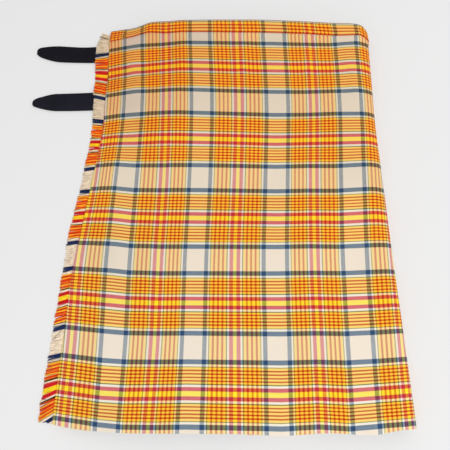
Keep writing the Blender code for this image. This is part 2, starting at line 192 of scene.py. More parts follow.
# Where the warp passes on the over apron at several heights: the blue stripes either side of each cream
# one and the yellow ones between; and how much the cloth left and right of them all is stretched
BLUE_AT = 0.1432  # a blue stripe's middle, in setts from the middle of its cream one
WARP_AT = (-1.5, -0.5, -BLUE_AT, BLUE_AT, 0.5, 1 - BLUE_AT, 1 + BLUE_AT, 1.5, 2 - BLUE_AT, 2 + BLUE_AT,
           2.5, 3 - BLUE_AT, 3 + BLUE_AT, 3.5, 4.5)
WARP_ROWS = in_mm((-267, -167, -46, 71, 192, 302))
WARP_LINES = in_mm((
    (-168.4, -137.6, -98.8, -60.9, -30, 13.1, 53.4, 84.8, 124.6, 163.8, 197.6),
    (-166.6, -133.8, -93.9, -57.2, -27.7, 13, 53.6, 85.4, 124, 163.1, 196.6),
    (-166, -132.2, -91.8, -55.2, -25.9, 13.7, 53.5, 85.6, 123.9, 163, 196.4),
    (-159.6, -128.1, -87.7, -50.9, -21.3, 18.4, 58.3, 90, 127.3, 166.6, 199.6),
    (-152.2, -124.5, -87.8, -49.9, -19.7, 20.9, 62.1, 94.1, 132, 171, 202.9),
    (-155.8, -128.9, -91, -53.9, -24.1, 17.8, 58.5, 91.2, 129.7, 169.1, 201.4),
))
LEFT_STRETCH = (1.146, 1.108, 1.09, 0.912, 0.96, 0.98)
RIGHT_STRETCH = (1.03, 1.035, 1.05, 1.00, 0.99, 1.00)
# How far the weft's rows ride up across the apron: at several x, a value for each of DRIFT_ROWS
DRIFT_ROWS = in_mm((-267, -235, -170, -50, 70, 190, 290))
DRIFT = in_mm((
    (-225, 12.5, 10.4, 11.4, 11.8, 10.6, 2, -3.8),
    (-163, 4.2, 2.8, 4.1, 6.4, 8.5, 3, -1),
    (-133, 1.9, 1.3, 1.8, 2.3, 4, 4, 0.3),
    (-90, 1.6, 1.8, 1.1, -0.1, 1.6, 4, 0.2),
    (-50, 2.4, 2.4, 1.4, 0.2, 1.4, 2.8, 1.3),
    (73, 0, 0, 0, -0.3, -1.1, -0.6, -0.5),
    (120, 2.4, 1.9, 1.1, 0.6, 0.1, -0.7, -2.5),
    (160, 0, 0.1, 0.3, 0.2, -0.2, 0.6, -2.5),
    (203, 3.8, 3.3, 2.3, 2.1, 2.4, 0.9, 1.3),
    (240, 6.3, 5.8, 4.9, 3.7, 2.8, 1.6, -0.6),
))

# How far the fringe's yarns lie off their own rows, towards the waist: y, at the edge and at the tips
LEANS = in_mm((
    (-264, 0, -11.8), (-252, 0, -11.8), (-243, 0, -10.6), (-227, 0.6, -8.8), (-213, 0, -5),
    (-178, 0.2, -3.8), (-141, 1.6, -3.9), (-92, 2.2, -2.3), (-56, 1.3, -1.6), (-18, 2.2, -0.4),
    (17, -1.2, -2.8), (28, -0.5, -2.6), (62, -2.6, -3.8), (98, -2, -4.3), (139, -4.2, -4.2),
    (173, -4.6, -2.5), (190, -4.2, -0.5), (210.5, -3.8, 1.5), (240, -3.2, 1), (252, -2.5, -1.5),
    (275, -3.4, -5), (290, -3.7, -6.8), (299, -3, -3.5), (310.8, -1.6, 1.4), (312.2, -1.6, 3.2),
    (319.3, -2.6, 3.3),
))
# Loose ends in mm, and one yarn of painted shadow: their yarn, radius, the height they lie on, and points: x,
# y and height above that
Loose = namedtuple("Loose", "name yarn radius lies_on points")
LOOSE_ENDS_AND_SHADOW = (
    # painted shadow: a dark yarn laid in the shade under the fringe's folded flap
    Loose("fold_shadow_yarn", "brown", 0.5, 1.9,
          ((-184, 309.2, 1.2), (-190, 311.2, 1.4), (-196.5, 314.2, 1.4), (-199.2, 315, 1))),
    Loose("loose_end_middle", "brown", 0.3, 1.9,
          ((-234.5, -156, 1.2), (-232.2, -152.2, 2), (-228.6, -149.8, 2.2), (-226.2, -146.2, 1.8),
           (-225.8, -144, 1))),
    Loose("loose_end_low", "brown", 0.25, 1.9,
          ((-237.4, -158.2, 0.8), (-235, -155.6, 1.6), (-231.8, -154.9, 1.8), (-229.7, -153.2, 1.2))),
    Loose("loose_end_upper", "brown", 0.2, 1.9,
          ((-229.2, -44.5, 0.8), (-226.2, -46.8, 1.8), (-222.5, -47.2, 2), (-219.8, -49.2, 1.2))),
    Loose("loose_end_corner", "navy", 0.3, 1.9,
          ((-244.5, -233, 0.8), (-242.2, -235.2, 1.6), (-239.2, -235.8, 1.2))),
    Loose("loose_end_hem", "red", 0.3, 22.5,
          ((25, -275.2, 1), (29, -277.5, 1.5), (33.5, -278.2, 1.1), (38.5, -277, 1.3), (40, -275.5, 1.1))),
)

# Soft ridges on the over apron, listed one by one: x and y of both ends, height and half width
RIDGES = in_mm((
    # rising from the hem, where it reaches lower
    (-139, -285, -131, -190, 2.4, 15),
    (-34, -285, -30, -225, 1, 12),
    (74, -285, 69, -175, 2.6, 17),
    (192, -285, 187, -195, 2.8, 14),
    # down from the waistband
    (-147, 290, -133, 200, 1.5, 10),
    (-62, 300, -66, 235, 0.9, 9),
    (30, 300, 27, 215, 1.1, 10),
    (121, 298, 127, 205, 1.2, 10),
    (184, 298, 199, 180, 1.8, 11),
    # slanting from the straps and across the front
    (-180, 245, -95, 160, 1.1, 11),
    (-180, 185, -70, 110, 1, 12),
    (-168, -250, -146, 60, 1.2, 13),
    (-95, 10, -120, -160, 0.9, 18),
    (205, 90, 55, -105, 1, 20),
    (150, -60, 215, -165, 1.2, 14),
))
RIDGE_ENDS = 0.25  # the share of a ridge's length over which each end dies away
RELIEF_FROM = 22 * MM  # the relief grows over this width from the left edge
BAND_CALM, BAND_CALM_OVER = 0.65, 45 * MM  # the waistband takes away this share of it
# Long low swells: the direction that each runs across (x, y), its length and its height in metres
SWELLS = ((0.92, 0.39, 0.173, 0.0008), (0.45, -0.89, 0.237, 0.0007), (-0.78, 0.62, 0.109, 0.0004))
SWELL_PHASE = 1.9  # how much further on, in radians, each starts than the one before
FOLD_STRAY = 0.8 * MM  # how far the pleats' folds stray from straight lines
FOLD_REACH, FOLD_STEPS = 3 * MM, 4  # the rounding of the hidden layers' folds
TABLE_WEIGHT = 8.0  # how much more of the bake the cloth on the table takes, which shows from below

FOLD_SHADE_COLOUR = (150, 118, 92)  # painted shade: a brownish yarn along the waistband's top fold, standing in for the fold's shade; sRGB 0 to 255


def through(xs, ys, at):
    """A smooth curve through a table's points, read at one place or at many."""
    xs = np.asarray(xs, float)
    ys = np.asarray(ys, float)
    at = np.clip(at, xs[0], xs[-1])
    slope = np.gradient(ys, xs)
    i = np.clip(np.searchsorted(xs, at, side="right") - 1, 0, len(xs) - 2)
    span = xs[i + 1] - xs[i]
    t = (at - xs[i]) / span
    return (ys[i] * (2 * t ** 3 - 3 * t ** 2 + 1) + ys[i + 1] * (3 * t ** 2 - 2 * t ** 3)
            + span * (slope[i] * (t ** 3 - 2 * t ** 2 + t) + slope[i + 1] * (t ** 3 - t ** 2)))


def curve(table, at, column=1):
    """A smooth curve through one column of a table, whose first column says where each row is."""
    return through(table[:, 0], table[:, column], at)


def between(places, at):
    """For each of a row of places, its weight in a straight line between the two on either side of `at`."""
    number = np.arange(len(places))
    return np.maximum(1 - np.abs(np.interp(at, places, number) - number.reshape(-1, *[1] * np.ndim(at))), 0)


def outline(column, y):
    return curve(OUTLINE, y, column)


def apron_edge(y):
    """The over apron's own left edge; the layers below it follow the solid's."""
    return outline(APRON_EDGE, y) + curve(LEFT_INSETS, y)


def hem_y(x):
    return curve(HEM, x)


def waist_y(x):
    return curve(WAIST, x)


def way_up(row):
    """The share of the way from the hem to the waist, on the garment's middle."""
    return (row - hem_y(0)) / (waist_y(0) - hem_y(0))


def row_y(x, row):
    """Y of the point at x on a row that is at height `row` on the garment's middle."""
    return hem_y(x) + (waist_y(x) - hem_y(x)) * way_up(row)


def ease(t):
    t = np.clip(t, 0.0, 1.0)
    return t * t * (3 - 2 * t)


def left_y(row):
    return row_y(outline(APRON_EDGE, row), row)


def right_side(row):
    y = row_y(outline(RIGHT_SIDE, row), row)
    return outline(RIGHT_SIDE, y) - curve(RIGHT_INSETS, y)


def strap_rise(y):
    """How far the straps raise the left edge of the over apron and the fringe."""
    from_strap = np.min([np.abs(y - strap.y) for strap in STRAPS], axis=0)
    return STRAP_LIFT * (1 - ease((from_strap - LIFT_FLAT) / LIFT_FLANK))


def relief(x, y):
    """Height of the over apron's soft ridges and swells at places on it; it never dips."""
    height = np.zeros(np.shape(x))
    for x0, y0, x1, y1, peak, width in RIDGES:
        run = np.array([x1 - x0, y1 - y0])
        length = np.hypot(*run)
        run /= length
        along = (x - x0) * run[0] + (y - y0) * run[1]
        off = (x - x0) * run[1] - (y - y0) * run[0]
        ends = ease(along / (RIDGE_ENDS * length)) * ease((length - along) / (RIDGE_ENDS * length))
        if y0 < APRON_BOTTOM:
            ends = ease((length - along) / length)
        height = height + peak * ends * np.exp(-(off / width) ** 2)
    for number, (across_x, across_y, length, swell) in enumerate(SWELLS):
        turn = 2 * math.pi * (x * across_x + y * across_y) / length + SWELL_PHASE * number
        height = height + swell * (1 + np.sin(turn)) / 2
    return height * (1 - BAND_CALM * ease((y - waist_y(x) + BAND_CALM_OVER) / BAND_CALM_OVER))


def fold_stray(k, row):
    """How far the fold of pleat k strays sideways at a row: no two folds stray alike."""
    return FOLD_STRAY * math.sin(2.4 * k + 0.7) * math.sin(15.3 * row + 1.7 * k)


class Row:
    """The places across the garment that the layers share at one height."""

    def __init__(self, row):
        self.left_edge = outline(APRON_EDGE, left_y(row))
        self.left_fold = self.left_edge + LEFT_FOLD_INSET
        self.right = np.interp(row, BACK_ROWS, [right_side(height) for height in BACK_ROWS])
        self.first_pleat = self.right - RIGHT_LEAD
        self.last_pleat = self.left_fold + LEFT_LEAD
        self.pleat_width = (self.first_pleat - self.last_pleat) / (PLEATS - 1)
        pairs = PAIRS_AT_HEM + (PAIRS_AT_WAIST - PAIRS_AT_HEM) * way_up(row)
        self.depth = pairs * self.pleat_width
        self.under_top = FLOOR + PITCH * (3 + 2 * pairs)
        self.over_top = self.under_top + PITCH + APRON_CLEARANCE
        under_band = waist_y(0) - BAND_HEIGHT - BAND_MARGIN
        self.lift = PITCH * ease((row - under_band + BAND_RAMP) / BAND_RAMP)

    def roll_x(self, z):
        """X of the over apron's layer on the rounded right side at height z."""
        if z > ROLL_HEIGHT:
            t, width = (z - ROLL_HEIGHT) / (self.over_top - ROLL_HEIGHT), ROLL_TOP
        else:
            t, width = (ROLL_HEIGHT - z) / (ROLL_HEIGHT - FLOOR), ROLL_UNDER
        return self.right - WALL / 2 - width * (1 - math.sqrt(max(1 - t * t, 0)))

    def inside_roll(self, z):
        """How far a pleat whose middle is at height z may reach into the rounded side."""
        low = max(z - 1.5 * PITCH, FLOOR)
        high = min(z + 1.5 * PITCH, self.over_top)
        return min(self.roll_x(low), self.roll_x(high), self.roll_x(z) - 1.5 * PITCH) - TIP_CLEARANCE

    def over_z(self, x):
        """Height of the over apron's top layer between its left edge and the rounded side."""
        t = np.clip((x - self.left_edge) / (self.last_pleat + self.depth - self.left_edge), 0, 1)
        return EDGE_HEIGHT + (self.over_top - EDGE_HEIGHT) * (1 - (1 - t) ** RAMP_POWER)


# ---------------- mesh helpers

SHARP_ANGLE = 48  # degrees; edges that turn further stay sharp
# The bake's map: a margin, the width of a sheet's face, and the reverse's narrow strip: its start and width
BAKE_MARGIN, BAKE_FACE, BAKE_REVERSE_AT, BAKE_REVERSE = 0.004, 0.85, 0.870, 0.126


def joined(*parts):
    """Numbers side by side, as points, UV pairs or faces."""
    return np.stack(np.broadcast_arrays(*parts), axis=-1)


def unit(vectors):
    return vectors / np.maximum(np.linalg.norm(vectors, axis=-1, keepdims=True), 1e-12)


def linked(piece):
    bpy.context.scene.collection.objects.link(piece)
    return piece


def new_mesh_object(name, vertices, faces, uvs, material):
    """uvs holds, for each UV map's name, one pair a vertex."""
    data = bpy.data.meshes.new(name)
    data.from_pydata(vertices.reshape(-1, 3).tolist(), [], faces)
    loops = np.empty(len(data.loops), dtype=np.int32)
    data.loops.foreach_get("vertex_index", loops)
    for uv_name, pairs_of in uvs.items():
        layer = data.uv_layers.new(name=uv_name)
        layer.data.foreach_set("uv", pairs_of.reshape(-1, 2).astype(np.float32)[loops].ravel())
    data.materials.append(material)
    data.shade_smooth()
    data.set_sharp_from_angle(angle=math.radians(SHARP_ANGLE))
    return linked(bpy.data.objects.new(name, data))


def shell(name, middle, cloth_uv, material, thickness=WALL, weights=None):
    """A closed sheet of even thickness on a grid of points: face, reverse and raw edges."""
    rows, columns = middle.shape[:2]
    normals = unit(np.cross(np.gradient(middle, axis=1), np.gradient(middle, axis=0)))
    vertices = np.array([middle + normals * thickness / 2, middle - normals * thickness / 2])
    count = rows * columns
    index = np.arange(count).reshape(rows, columns)
    quads = joined(index[:-1, :-1], index[:-1, 1:], index[1:, 1:], index[1:, :-1]).reshape(-1, 4)
    border = np.concatenate([index[0, :-1], index[:-1, -1], index[-1, :0:-1], index[:0:-1, 0]])
    after = np.roll(border, -1)
    rim = joined(after, border, border + count, after + count)
    faces = np.concatenate([quads, quads[:, ::-1] + count, rim]).tolist()
    share = np.linspace(0, 1, columns) if weights is None else weights
    across, height = np.meshgrid(share, np.linspace(BAKE_MARGIN, 1 - BAKE_MARGIN, rows))
    bake = np.array([joined(start + width * across, height) for start, width in
                     ((BAKE_MARGIN, BAKE_FACE), (BAKE_REVERSE_AT, BAKE_REVERSE))])
    uvs = {"Cloth": np.array([cloth_uv, cloth_uv]), "OFBake": bake}
    return new_mesh_object(name, vertices, faces, uvs, material)


def ring_faces(count, rings, sides):
    """Faces, turned outward, of closed solids, each through rings of vertices."""
    index = np.arange(count * rings * sides).reshape(count, rings, sides)
    after = np.roll(index, -1, axis=2)
    walls = joined(index[:, :-1], index[:, 1:], after[:, 1:], after[:, :-1]).reshape(-1, 4)
    return walls.tolist() + index[:, 0].tolist() + index[:, -1, ::-1].tolist()


def soften(path):
    """Round each inner corner of a path with a short curve; a point may carry any numbers."""

    def taken(side):
        length = np.hypot(side[0], side[1])
        return side * min(FOLD_REACH, length * 0.5) / max(length, 1e-9)

    path = np.asarray(path, float)
    out = [path[0]]
    for before, corner, after in zip(path, path[1:], path[2:]):
        start, end = corner - taken(corner - before), corner + taken(after - corner)
        for t in np.linspace(0, 1, FOLD_STEPS):
            out.append(start * (1 - t) ** 2 + corner * 2 * t * (1 - t) + end * t * t)
    out.append(path[-1])
    return np.array(out)


# ---------------- materials

def linear(colour):
    """Linear values of an sRGB colour given as 0 to 255."""
    c = np.asarray(colour, float) / 255
    return tuple(np.where(c <= 0.04045, c / 12.92, ((c + 0.055) / 1.055) ** 2.4)) + (1.0,)


class Nodes:
    """A short way to write a material's node tree."""

    def __init__(self, name):
        self.material = bpy.data.materials.new(name)
        self.material.use_nodes = True
        self.tree = self.material.node_tree
        self.shader = self.tree.nodes["Principled BSDF"]

    def add(self, kind, inputs, **settings):
        """A new node; each input is a value or another node's output."""
        node = self.tree.nodes.new(kind)
        for key, value in settings.items():
            setattr(node, key, value)
        self.put(node, inputs)
        return node

    def put(self, node, inputs):
        for key, value in inputs.items():
            if isinstance(value, (int, float, tuple)):
                node.inputs[key].default_value = value
            else:
                self.tree.links.new(value, node.inputs[key])

    def math(self, operation, a, b=0.0, c=0.0):
        return self.add("ShaderNodeMath", {0: a, 1: b, 2: c}, operation=operation).outputs[0]

    def mix(self, share, a, b, blend="MIX"):
        inputs = {"Factor": share, "A": a, "B": b}
        return self.add("ShaderNodeMix", inputs, data_type="RGBA", blend_type=blend).outputs["Result"]

    def times(self, a, b):
        return self.mix(1.0, a, b, "MULTIPLY")

    def noise(self, where, scale, detail=2.0):
        inputs = {"Scale": scale, "Detail": detail, "Vector": where}
        return self.add("ShaderNodeTexNoise", inputs).outputs["Fac"]

    def place(self):
        return self.add("ShaderNodeTexCoord", {}).outputs["Object"]

    def cloth_map(self):
        """The Cloth map, and its two numbers on their own."""
        uv = self.add("ShaderNodeUVMap", {}, uv_map="Cloth").outputs[0]
        parts = self.add("ShaderNodeSeparateXYZ", {0: uv})
        return uv, parts.outputs["X"], parts.outputs["Y"]

    def half_sett(self, setts):
        """From 0 to 1 and back over each sett."""
        return self.math("MULTIPLY", self.math("PINGPONG", setts, 0.5), 2.0)

    def bump(self, height, strength, distance):
        inputs = {"Strength": strength, "Distance": distance, "Height": height}
        self.put(self.shader, {"Normal": self.add("ShaderNodeBump", inputs).outputs[0]})

    def ramp(self, sett, at, power=1.0):
        """A constant ramp with a stop for each stripe of half a sett, in the yarns' colours to a power."""
        node = self.add("ShaderNodeValToRGB", {"Fac": at})
        ramp = node.color_ramp
        ramp.interpolation = "CONSTANT"
        total = sum(count for _, count in sett)
        start = 0
        for number, (yarn, count) in enumerate(sett):
            stop = ramp.elements[number] if number < 2 else ramp.elements.new(start / total)
            stop.position = start / total
            stop.color = tuple(value ** power for value in linear(YARNS[yarn]))
            start += count
        return node.outputs["Color"]


WARP_TINT = 0.29  # how much of a yarn's colour comes from the one below it
WEFT_TINT = 0.09
# Painted shade, with a warmer tone: what the wool's colours are multiplied by at the waist, for its pale
# yarns and its deep ones
WAIST_SHADE_PALE = (0.825, 0.785, 0.725, 1.0)
WAIST_SHADE_DEEP = (1.02, 0.82, 0.58, 1.0)
PALE_BLUE = 0.5  # a yarn with this much blue is wholly pale
CORNER_SHADE_PLACE, CORNER_SHADE_REACH = (-0.175, 0.300, 0.0), 0.24  # painted shade: a darker, duller patch by the straps
CORNER_SHADE_PALE, CORNER_SHADE_DEEP = (0.85, 0.77, 0.78, 1.0), (0.96, 0.82, 0.55, 1.0)
WHOLE = (1.0, 1.0, 1.0, 1.0)  # leaves a colour as it is
BLOTCH_SCALE, BLOTCHES = 9.0, ((0.93, 0.93, 0.93, 1.0), (1.07, 1.07, 1.07, 1.0))
WARP_THREADS = 2 * sum(count for _, count in WARP_SETT)
WEFT_THREADS = 2 * sum(count for _, count in WEFT_SETT)
TWILL, TWILL_OVER = 4.0, 1.5  # of each four threads, the first two lie on top


def wool(n, colour, height, corner_shaded=True):
    """Finish a wool material from its colour and its weave's height, with painted shade towards the waist,
    and by the straps or not.
    """
    where = n.place()
    y = n.add("ShaderNodeSeparateXYZ", {0: where}).outputs["Y"]
    # painted shade: the cloth grows darker, and a little warmer, towards the waist
    span = {"Value": y, "From Min": float(HEM[0, 1]), "From Max": float(WAIST[-1, 1])}
    waist_share = n.add("ShaderNodeMapRange", span, interpolation_type="SMOOTHSTEP").outputs[0]
    blue = n.add("ShaderNodeSeparateColor", {0: colour}).outputs["Blue"]
    pale = n.math("MINIMUM", n.math("DIVIDE", blue, PALE_BLUE), 1.0)
    shade = n.mix(waist_share, WHOLE, n.mix(pale, WAIST_SHADE_DEEP, WAIST_SHADE_PALE))
    # painted shade: a darker, duller patch by the straps, at the waist's left corner
    if corner_shaded:
        away = n.add("ShaderNodeVectorMath", {0: where, 1: CORNER_SHADE_PLACE}, operation="DISTANCE")
        reach = {"Value": away.outputs["Value"], "From Max": CORNER_SHADE_REACH}
        near = n.add("ShaderNodeMapRange", reach, interpolation_type="SMOOTHSTEP").outputs[0]
        shade = n.times(n.mix(near, n.mix(pale, CORNER_SHADE_DEEP, CORNER_SHADE_PALE), WHOLE), shade)
    shade = n.times(shade, n.mix(n.noise(where, BLOTCH_SCALE), *BLOTCHES))
    n.put(n.shader, {"Base Color": n.times(colour, shade), "Roughness": 0.88, "Specular IOR Level": 0.18,
                     "Sheen Weight": 0.12, "Sheen Roughness": 0.45})
    n.bump(height, 0.35, 0.2 * MM)
    return n.material


def tartan_material():
    """A 2/2 twill of the two setts.  The Cloth map counts setts along the weft and up the warp."""
    n = Nodes("tartan_wool")
    _, across, up = n.cloth_map()
    in_warp, in_weft = n.half_sett(across), n.half_sett(up)
    # the yarn on top shows, tinted by the one that it crosses
    warp = n.times(n.ramp(WARP_SETT, in_warp, 1 - WARP_TINT), n.ramp(WEFT_SETT, in_weft, WARP_TINT))
    weft = n.times(n.ramp(WEFT_SETT, in_weft, 1 - WEFT_TINT), n.ramp(WARP_SETT, in_warp, WEFT_TINT))
    end = n.math("MULTIPLY", across, float(WARP_THREADS))
    pick = n.math("MULTIPLY", up, float(WEFT_THREADS))
    step = n.math("ADD", n.math("FLOOR", end), n.math("FLOOR", pick))
    over = n.math("LESS_THAN", n.math("FLOORED_MODULO", step, TWILL), TWILL_OVER)
    end_round, pick_round = (n.math("SINE", n.math("MULTIPLY", n.math("FRACT", thread), math.pi))
                             for thread in (end, pick))
    inputs = {"Factor": over, "A": pick_round, "B": end_round}
    height = n.add("ShaderNodeMix", inputs, data_type="FLOAT").outputs["Result"]
    return wool(n, n.mix(over, weft, warp), height)


YARN_NOISE = (2.5, 110.0, 0.0)  # cells of shade along the fringe's yarns and across them, a sett
YARN_DARK, YARN_LIGHT = (0.70, 0.66, 0.61, 1.0), (1.14, 1.15, 1.15, 1.0)
NOISE_DARK, NOISE_LIGHT = 0.30, 0.62  # where the noise is wholly dark and wholly light
PLY_TURNS = 60.0  # the twist of a yarn, in radians over its length
PLY_SCALE = 1500.0  # the grain of a loose end's wool
GRAIN_SCALE = 900.0  # the leather's grain


def fringe_material():
    """Loose weft yarns: the Cloth map's height picks the yarn, and its width runs along it."""
    n = Nodes("fringe_wool")
    uv, along, up = n.cloth_map()
    weft = n.ramp(FRINGE_SETT, n.half_sett(up))
    ply = n.math("SINE", n.math("MULTIPLY", along, PLY_TURNS))
    # neighbouring yarns differ a little in shade
    cells = n.add("ShaderNodeVectorMath", {0: uv, 1: YARN_NOISE}, operation="MULTIPLY").outputs[0]
    span = {"Value": n.noise(cells, 1.0, 3.0), "From Min": NOISE_DARK, "From Max": NOISE_LIGHT}
    light = n.mix(n.add("ShaderNodeMapRange", span).outputs[0], YARN_DARK, YARN_LIGHT)
    return wool(n, n.times(weft, light), ply, corner_shaded=False)


def plain_wool(name, colour):
    """Wool of one colour, for loose ends and for the yarns laid as painted shade."""
    n = Nodes(name)
    return wool(n, linear(colour), n.add("ShaderNodeTexNoise", {"Scale": PLY_SCALE}).outputs["Fac"])


def leather_material(name, dark, light):
    n = Nodes(name)
    where = n.place()
    grain = n.add("ShaderNodeTexVoronoi", {"Scale": GRAIN_SCALE, "Vector": where}, feature="F1")
    blotch = n.noise(where, 40.0, 4.0)
    n.put(n.shader, {"Base Color": n.mix(blotch, linear(dark), linear(light)),
                     "Roughness": n.math("MULTIPLY_ADD", blotch, 0.25, 0.42), "Specular IOR Level": 0.13})
    n.bump(grain.outputs["Distance"], 0.30, 0.3 * MM)
    return n.material


TARTAN = tartan_material()
FRINGE = fringe_material()
LOOSE = {yarn: plain_wool(f"{yarn}_wool", YARNS[yarn]) for yarn in ("brown", "navy", "red")}
FOLD_SHADE_WOOL = plain_wool("edge_wool", FOLD_SHADE_COLOUR)
# painted shade: the upper strap's leather is a darker copy of the lower strap's
LEATHER = {
    "strap_upper": leather_material("strap_upper_leather", (6, 6, 12), (19, 18, 29)),
    "strap_lower": leather_material("strap_lower_leather", (13, 13, 21), (28, 27, 40)),
}

# ---------------- over apron

TOP_COLUMNS = 196
ROLL_COLUMNS = 24
HALF_ROLL = ROLL_COLUMNS // 2
EDGE_COLUMNS = 6  # in the facing, and again in the turn from it to the top layer
APRON_GRID_ROWS = 190
FIRST_TOP = 2 * EDGE_COLUMNS  # the top layer's first column
LAST_TOP = FIRST_TOP + TOP_COLUMNS


def apron_profile(row):
    """Middle line of the over apron at a row, from its facing to the seam under its right side."""
    r = Row(row)
    bend = PITCH / 2
    left, right = float(apron_edge(left_y(row))), r.right - WALL / 2
    facing = np.linspace(left + FACING, left + bend * 1.2, EDGE_COLUMNS)
    angle = np.radians(np.linspace(255, 105, EDGE_COLUMNS))
    turn = left + bend + bend * np.cos(angle)
    turn_z = r.over_z(left + bend) - bend + bend * np.sin(angle)
    top = np.linspace(left + bend * 1.2, right - ROLL_TOP, TOP_COLUMNS)
    angle = np.radians(np.linspace(90, -90, ROLL_COLUMNS))[1:]
    above = angle > 0
    roll = right - np.where(above, ROLL_TOP, ROLL_UNDER) * (1 - np.cos(angle))
    half = np.where(above, r.over_top - ROLL_HEIGHT, ROLL_HEIGHT - FLOOR)
    roll_z = ROLL_HEIGHT + half * np.sin(angle)
    seam = np.linspace(roll[-1], r.right - RIGHT_SEAM, 4)[1:]
    x = np.concatenate([facing, turn, top, roll, seam])
    z = np.concatenate([r.over_z(facing) - PITCH, turn_z, r.over_z(top), roll_z, np.full_like(seam, FLOOR)])
    share = np.zeros(len(x))
    share[FIRST_TOP:LAST_TOP] = ease((top - left) / RELIEF_FROM)
    share[LAST_TOP:LAST_TOP + len(roll)] = np.maximum(np.sin(angle), 0)
    z += r.lift + share * relief(x, row_y(x, row))
    z += strap_rise(left_y(row)) * (1 - ease((x - r.left_edge - LIFT_REACH) / LIFT_REACH))
    return joined(x, z)


def drift(x, y):
    """How far up the weft's rows ride at a point."""
    return sum(between(DRIFT[:, 0], x) * [through(DRIFT_ROWS, row[1:], y) for row in DRIFT])


def placed(line, row):
    """A profile's points (x, z) in their places on a row of the garment."""
    return joined(line[:, 0], row_y(line[:, 0], row), line[:, 1])


def measured(steps, axis=0):
    """How far each point lies along its line, from the steps between them."""
    return np.insert(np.cumsum(steps, axis=axis), 0, 0.0, axis=axis)


def weft_sett(y, rides=0.0):
    """The weft's place in its sett at a height, where its rows ride up by so much."""
    return 1 + (CREAM_ROW_Y - y + rides) / WEFT_PERIOD


def apron_cloth_uv(grid):
    """Setts across and up the over apron, set by where its stripes lie."""
    across = []
    for line in grid:
        arc = measured(np.hypot(np.diff(line[:, 0]), np.diff(line[:, 2])))
        top = slice(FIRST_TOP, LAST_TOP + HALF_ROLL - 2)
        y = float(np.mean(line[top, 1]))
        x = [through(WARP_ROWS, column, y) for column in WARP_LINES.T]
        at = np.interp(x, line[top, 0], arc[top])
        pivot = (0.5 - BLUE_AT) * WARP_PERIOD
        left = at[0] - pivot * through(WARP_ROWS, LEFT_STRETCH, y)
        right = at[-1] + pivot * through(WARP_ROWS, RIGHT_STRETCH, y)
        knots = np.concatenate([[left - WARP_PERIOD, left], at, [right, right + WARP_PERIOD]])
        across.append(np.interp(arc, knots, WARP_AT))
    x, y = grid[:, :, 0], grid[:, :, 1]
    return joined(across, weft_sett(y, drift(x, y)))


apron_rows = np.linspace(APRON_BOTTOM, APRON_TOP, APRON_GRID_ROWS)
apron_grid = np.array([placed(apron_profile(row), row) for row in apron_rows])
apron_uv = apron_cloth_uv(apron_grid)
over_apron = shell("over_apron_cloth", apron_grid, apron_uv, TARTAN)

# ---------------- pleated back and under apron

def back_path(row):
    """Middle line of the pleated back; each point carries how many setts of cloth lead to it."""
    r = Row(row)
    path = []

    def add(x, layers, sett):
        path.append((x, FLOOR + layers * PITCH + r.lift, sett))

    def setts(x, k):
        return 2 * k - x / WARP_PERIOD

    add(r.right - RIGHT_SEAM - SEAM, 0, setts(r.right - RIGHT_SEAM, 0))
    bend = PITCH / 2
    fold = r.first_pleat
    for k in range(PLEATS):
        before, fold = fold, r.first_pleat - k * r.pleat_width + (fold_stray(k, row) if k else 0)

        def rise(x):
            return 2 * min((x - fold) / r.pleat_width, k)

        if k:
            add(before, 2, setts(before, k))
            add(before - STEP, 0, setts(before - STEP, k))
        start = setts(fold, k)
        add(fold + bend, 0, setts(fold + bend, k))
        add(fold, 0.5, start)
        add(fold + bend, 1 + rise(fold + bend), start + 0.01)
        tip = min(fold + r.depth, r.inside_roll(FLOOR + PITCH * (1.5 + rise(r.right))))
        crosses = 0 < k < PAIRS_AT_WAIST
        if crosses:
            add(r.first_pleat, 1 + rise(r.first_pleat), start + 0.5)
        add(tip, 1 + rise(tip), start + 0.99)
        add(tip + bend, 1.5 + rise(tip), start + 1)
        add(tip, 2 + rise(tip), start + 1.01)
        if crosses:
            add(r.first_pleat, 2 + rise(r.first_pleat), start + 1.5)
    add(fold, 2, setts(fold, PLEATS))
    add(fold - STEP, 0, setts(fold - STEP, PLEATS))
    add(r.left_fold + LEFT_SEAM, 0, setts(r.left_fold, PLEATS))
    return path


def under_apron_path(row):
    """From the left fold up and over the pleats to the free edge."""
    r = Row(row)
    bend = PITCH / 2
    path = [(r.left_fold + LEFT_SEAM - SEAM, FLOOR), (r.left_fold + bend, FLOOR), (r.left_fold, FLOOR + bend),
            (r.left_fold + bend, FLOOR + PITCH), (r.last_pleat, FLOOR + 3 * PITCH)]
    shoulder = r.last_pleat + r.depth
    path += [(x, r.under_top) for x in np.linspace(shoulder, r.right - UNDER_APRON_END, 10)]
    arc = measured(np.hypot(*np.diff(path, axis=0).T))
    setts = 2 * PLEATS - (r.left_fold - arc) / WARP_PERIOD
    return [(x, z + r.lift, c) for (x, z), c in zip(path, setts)]


def layer(name, path_of, rows):
    """A hidden layer of cloth, with its folds rounded."""
    lines = [soften(path_of(row)) for row in rows]
    grid = np.array([placed(line, row) for line, row in zip(lines, rows)])
    uv = joined(np.array(lines)[:, :, 2], weft_sett(grid[:, :, 1]))
    x, z = grid[0, :, 0], grid[0, :, 2]
    on_table = z < FLOOR + PITCH
    steps = np.hypot(np.diff(x), np.diff(z)) * np.where(on_table[1:] & on_table[:-1], TABLE_WEIGHT, 1.0)
    weights = measured(steps)
    return shell(name, grid, uv, TARTAN, weights=weights / weights[-1])


back_rows = np.unique(np.concatenate([np.linspace(BACK_ROWS[0], BACK_ROWS[-1], 30), BACK_ROWS]))
pleated_back = layer("pleated_back_cloth", back_path, back_rows)
under_rows = np.unique(np.concatenate([np.linspace(BACK_ROWS[0], UNDER_APRON_TOP, 30), BACK_ROWS[:-1]]))
under_apron = layer("under_apron_cloth", under_apron_path, under_rows)

# ---------------- waistband

